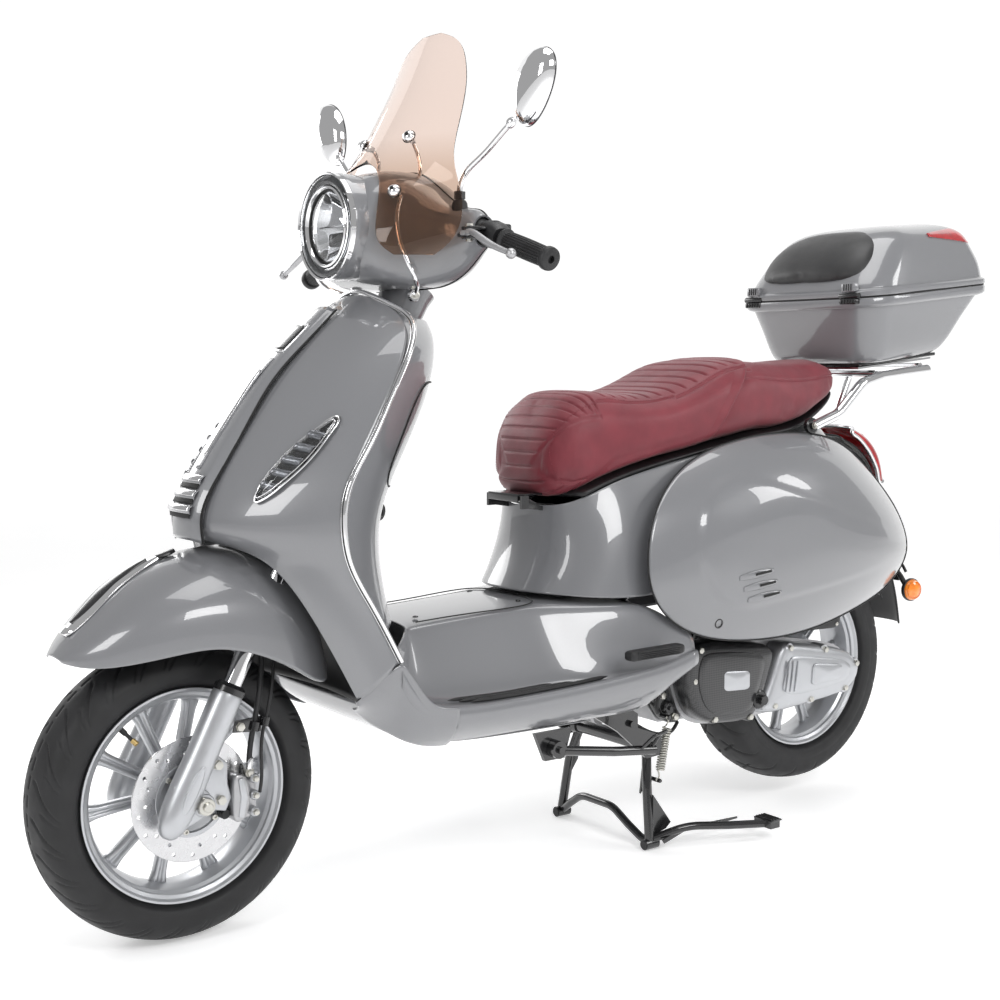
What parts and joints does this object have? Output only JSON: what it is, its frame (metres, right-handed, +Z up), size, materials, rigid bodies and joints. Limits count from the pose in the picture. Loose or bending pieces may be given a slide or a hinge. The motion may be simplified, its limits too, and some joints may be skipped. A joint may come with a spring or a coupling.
{
  "type": "moped scooter",
  "caption": "Step-through moped scooter on its centre stand, with windscreen, ribbed seat, rear carrier and lidded top box.",
  "frame": {"origin": "on the ground, in the middle of the bounding box", "axes": "+Z up; the scooter is longest along Y with its front at -Y; X runs across it, left side +X"},
  "size_m": [0.7303, 2.05, 1.424],
  "materials": {
    "body_grey": "high gloss paint",
    "chrome": "polished",
    "black_steel": "gloss black enamel",
    "silver_alloy": "silver paint",
    "raw_alloy": "cast",
    "brake_steel": "brushed",
    "tyre": "matt",
    "rubber": "satin",
    "black_plastic": "fine grain",
    "carbon_black": "weave pattern",
    "seat_leather": "burgundy leatherette",
    "black_leather": "soft black leatherette",
    "screen_tint": "tinted clear plastic",
    "clear_lens": "clear",
    "amber_lens": "clear amber",
    "red_lens": "clear red",
    "bearing_steel": "ground",
    "mirror_silver": "polished",
    "bare_tank": "black"
  },
  "bodies": {
    "frame": {"main_frame": "black_steel", "head_bearings": "bearing_steel", "leg_shield": "body_grey", "nose_panel": "body_grey", "indicators": "amber_lens", "inner_shield": "body_grey", "shield_trim": "chrome", "floorboard": "body_grey", "belly_pan": "body_grey", "floor_strips": "rubber", "seat_tub": "body_grey", "side_cowls": "body_grey", "helmet_bucket": "black_plastic", "fuel_tank": "bare_tank", "tail_lamp": "red_lens", "plate_bracket": "black_plastic", "rack": "chrome", "top_box_base": "body_grey"},
    "steering": {"steering_stem": "black_steel", "fork_stanchions": "chrome", "front_fender": "body_grey", "handlebar": "black_steel", "left_grip": "rubber", "lever_perches": "black_plastic", "head_shell": "body_grey", "headlight_body": "chrome", "headlight_lens": "clear_lens", "windscreen": "screen_tint", "screen_rods": "chrome", "mirror_stems": "chrome"},
    "fork": {"fork_sliders": "silver_alloy", "brake_caliper": "raw_alloy", "brake_hose": "rubber"},
    "front_wheel": {"front_rim": "silver_alloy", "front_tyre": "tyre", "brake_disc": "brake_steel"},
    "engine": {"engine_case": "raw_alloy", "drive_cover_front": "carbon_black", "drive_cover_rear": "silver_alloy", "airbox": "black_plastic", "muffler": "black_steel"},
    "rear_wheel": {"rear_rim": "silver_alloy", "rear_tyre": "tyre"},
    "shock_upper": {"shock_body": "black_steel"},
    "shock_lower": {"shock_rod": "chrome"},
    "seat": {"seat_cushion": "seat_leather", "seat_pan": "black_plastic"},
    "box_lid": {"top_box_lid": "body_grey", "backrest_pad": "black_leather"},
    "centre_stand": {"centre_stand": "black_steel"},
    "side_stand": {"side_stand": "black_steel"},
    "left_footrest": {"left_footrest": "black_plastic"},
    "right_footrest": {"right_footrest": "black_plastic"},
    "left_lever": {"left_lever": "silver_alloy"},
    "right_lever": {"right_lever": "silver_alloy"},
    "throttle": {"throttle_grip": "rubber"},
    "horn_button": {"horn_button": "black_plastic"},
    "starter_button": {"starter_button": "black_plastic"},
    "left_mirror": {"left_mirror": "mirror_silver"},
    "right_mirror": {"right_mirror": "mirror_silver"}
  },
  "joints": [
    {"name": "steering_turn", "type": "hinge", "parent": "frame", "child": "steering", "pos_m": [0, -0.757, 0.229], "axis": [0, 0.454, 0.891], "range_deg": [-32, 32]},
    {"name": "fork_travel", "type": "slide", "parent": "steering", "child": "fork", "axis": [0, 0.454, 0.891], "range_m": [0, 0.05], "stiffness_N_per_m": 12000, "springref_m": -0.06},
    {"name": "front_wheel_spin", "type": "hinge", "parent": "fork", "child": "front_wheel", "pos_m": [0, -0.796, 0.229], "axis": [1, 0, 0], "continuous": true},
    {"name": "throttle_twist", "type": "hinge", "parent": "steering", "child": "throttle", "pos_m": [-0.3, -0.34697, 1.0558], "axis": [-0.9484, 0.0521, -0.3127], "range_deg": [0, 70], "stiffness_Nm_per_rad": 0.25, "springref_deg": -17.19},
    {"name": "left_lever_pull", "type": "hinge", "parent": "steering", "child": "left_lever", "pos_m": [0.222, -0.39325, 1.08152], "axis": [0, 0, 1], "range_deg": [0, 14], "stiffness_Nm_per_rad": 2, "springref_deg": -17.19},
    {"name": "right_lever_pull", "type": "hinge", "parent": "steering", "child": "right_lever", "pos_m": [-0.222, -0.39325, 1.08152], "axis": [0, 0, -1], "range_deg": [0, 14], "stiffness_Nm_per_rad": 2, "springref_deg": -17.19},
    {"name": "horn_press", "type": "slide", "parent": "steering", "child": "horn_button", "axis": [0, -1, 0], "range_m": [0, 0.003], "stiffness_N_per_m": 300, "springref_m": -0.002},
    {"name": "starter_press", "type": "slide", "parent": "steering", "child": "starter_button", "axis": [0, -1, 0], "range_m": [0, 0.003], "stiffness_N_per_m": 300, "springref_m": -0.002},
    {"name": "left_mirror_swivel", "type": "hinge", "parent": "steering", "child": "left_mirror", "pos_m": [0.262, -0.338, 1.252], "axis": [0, 0, 1], "range_deg": [-12, 12]},
    {"name": "right_mirror_swivel", "type": "hinge", "parent": "steering", "child": "right_mirror", "pos_m": [-0.262, -0.338, 1.252], "axis": [0, 0, 1], "range_deg": [-12, 12]},
    {"name": "engine_swing", "type": "hinge", "parent": "frame", "child": "engine", "pos_m": [0, 0.034, 0.236], "axis": [1, 0, 0], "range_deg": [0, 5]},
    {"name": "rear_wheel_spin", "type": "hinge", "parent": "engine", "child": "rear_wheel", "pos_m": [0, 0.564, 0.271], "axis": [1, 0, 0], "continuous": true},
    {"name": "shock_tilt", "type": "hinge", "parent": "frame", "child": "shock_upper", "pos_m": [-0.1, 0.574, 0.56], "axis": [1, 0, 0], "range_deg": [-4.19, 0]},
    {"name": "shock_travel", "type": "slide", "parent": "shock_upper", "child": "shock_lower", "axis": [0, 0.1515, 0.9885], "range_m": [0, 0.04195]},
    {"name": "seat_open", "type": "hinge", "parent": "frame", "child": "seat", "pos_m": [0, -0.156, 0.646], "axis": [1, 0, 0], "range_deg": [0, 72]},
    {"name": "lid_open", "type": "hinge", "parent": "frame", "child": "box_lid", "pos_m": [0, 0.58, 1.0145], "axis": [1, 0, 0], "range_deg": [0, 75]},
    {"name": "centre_stand_fold", "type": "hinge", "parent": "frame", "child": "centre_stand", "pos_m": [0, 0.089, 0.186], "axis": [1, 0, 0], "range_deg": [0, 75]},
    {"name": "side_stand_swing", "type": "hinge", "parent": "frame", "child": "side_stand", "pos_m": [0.168, -0.176, 0.232], "axis": [-1, 0, 0], "range_deg": [0, 95]},
    {"name": "left_footrest_fold", "type": "hinge", "parent": "frame", "child": "left_footrest", "pos_m": [0.247, -0.07, 0.393], "axis": [0, 0, -1], "range_deg": [0, 80]},
    {"name": "right_footrest_fold", "type": "hinge", "parent": "frame", "child": "right_footrest", "pos_m": [-0.247, -0.07, 0.393], "axis": [0, 0, 1], "range_deg": [0, 80]}
  ],
  "couplings": [
    {"joint": "shock_tilt", "follows": "engine_swing", "ratio": -0.82115},
    {"joint": "shock_travel", "follows": "engine_swing", "m_per_rad": 0.47132}
  ]
}
